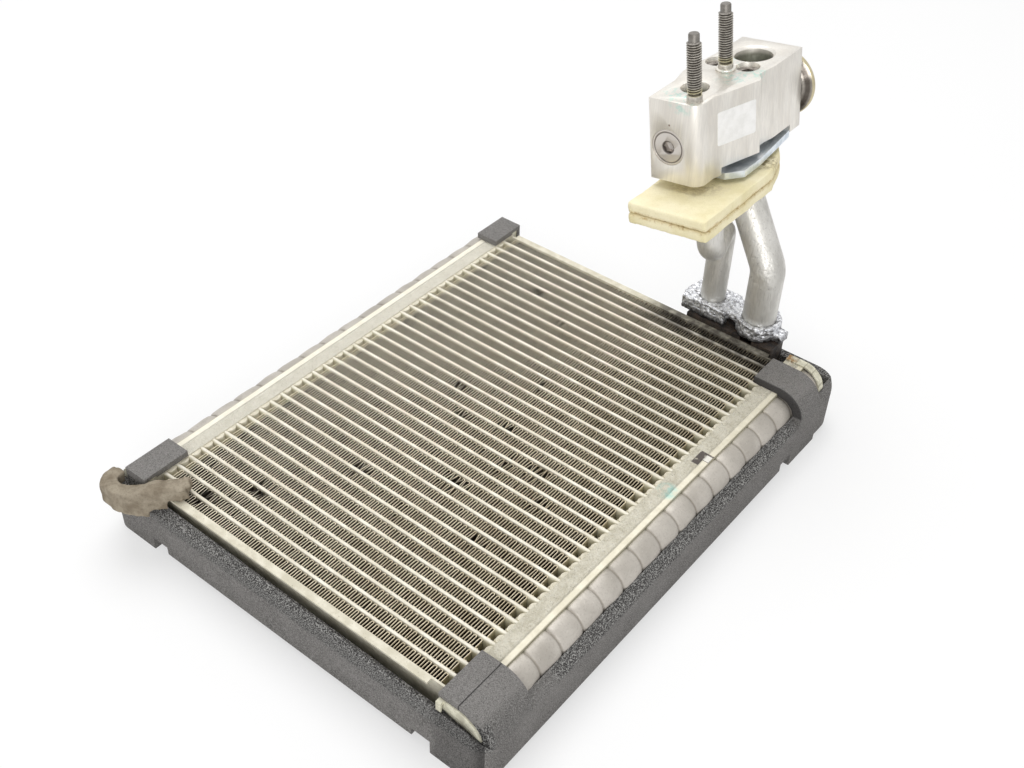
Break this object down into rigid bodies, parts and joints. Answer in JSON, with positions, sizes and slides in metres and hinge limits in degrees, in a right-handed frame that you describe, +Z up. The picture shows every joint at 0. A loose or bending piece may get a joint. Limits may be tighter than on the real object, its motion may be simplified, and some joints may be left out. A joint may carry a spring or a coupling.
{
  "type": "evaporator core",
  "caption": "Flat-tube evaporator core with header tanks in a foam tray, and a block expansion valve carried on two bent pipes through a foam seal.",
  "frame": {"origin": "centre of the tray's footprint, on the plane its corner feet rest on", "axes": "+Z up through the core, +Y along the header tanks from the near wall to the pipe end, +X along the flat tubes from the left tank to the right one"},
  "size_m": [0.2056, 0.3011, 0.191],
  "materials": {
    "tube": "matt brazed aluminium with a cream flux bloom",
    "fin": "dull folded foil",
    "plate": "rough cream brazing flux",
    "tank": "satin drawn aluminium",
    "foam": "matt black closed-cell foam with a grainy cut edge",
    "sponge": "matt grey-brown sponge",
    "braze": "crinkled silver braze",
    "duct": "sooty black residue",
    "pipe": "drawn and bent aluminium with fine marks",
    "seal": "matt pale yellow foam",
    "block": "extruded and milled bare aluminium",
    "zinc": "bright zinc plate",
    "stud": "dark phosphated steel",
    "head": "polished pressed steel with a yellow passivated rim"
  },
  "bodies": {
    "root": {"tube_01": "tube", "tube_02": "tube", "tube_03": "tube", "tube_04": "tube", "tube_05": "tube", "tube_06": "tube", "tube_07": "tube", "tube_08": "tube", "tube_09": "tube", "tube_10": "tube", "tube_11": "tube", "tube_12": "tube", "tube_13": "tube", "tube_14": "tube", "tube_15": "tube", "tube_16": "tube", "tube_17": "tube", "tube_18": "tube", "tube_19": "tube", "tube_20": "tube", "tube_21": "tube", "tube_22": "tube", "tube_23": "tube", "tube_24": "tube", "tube_25": "tube", "tube_26": "tube", "tube_27": "tube", "tube_28": "tube", "tube_29": "tube", "tube_30": "tube", "tube_31": "tube", "tube_32": "tube", "tube_33": "tube", "tube_34": "tube", "tube_35": "tube", "fins": "fin", "near_side_plate": "plate", "far_side_plate": "plate", "left_header_plate": "plate", "right_header_plate": "plate", "left_tank": "tank", "right_tank": "tank", "end_cap_near_left": "plate", "end_cap_near_right": "plate", "end_cap_far_left": "plate", "end_cap_far_right": "plate", "foam_frame": "foam", "sponge_strip": "sponge", "manifold_duct": "duct", "connector_block": "braze", "liquid_pipe": "pipe", "suction_pipe": "pipe", "seal_lower": "seal", "seal_upper": "seal", "retaining_plate": "zinc", "valve_body": "block", "valve_plug": "block", "power_head": "head", "studs": "stud", "valve_screws": "stud"}
  },
  "joints": []
}
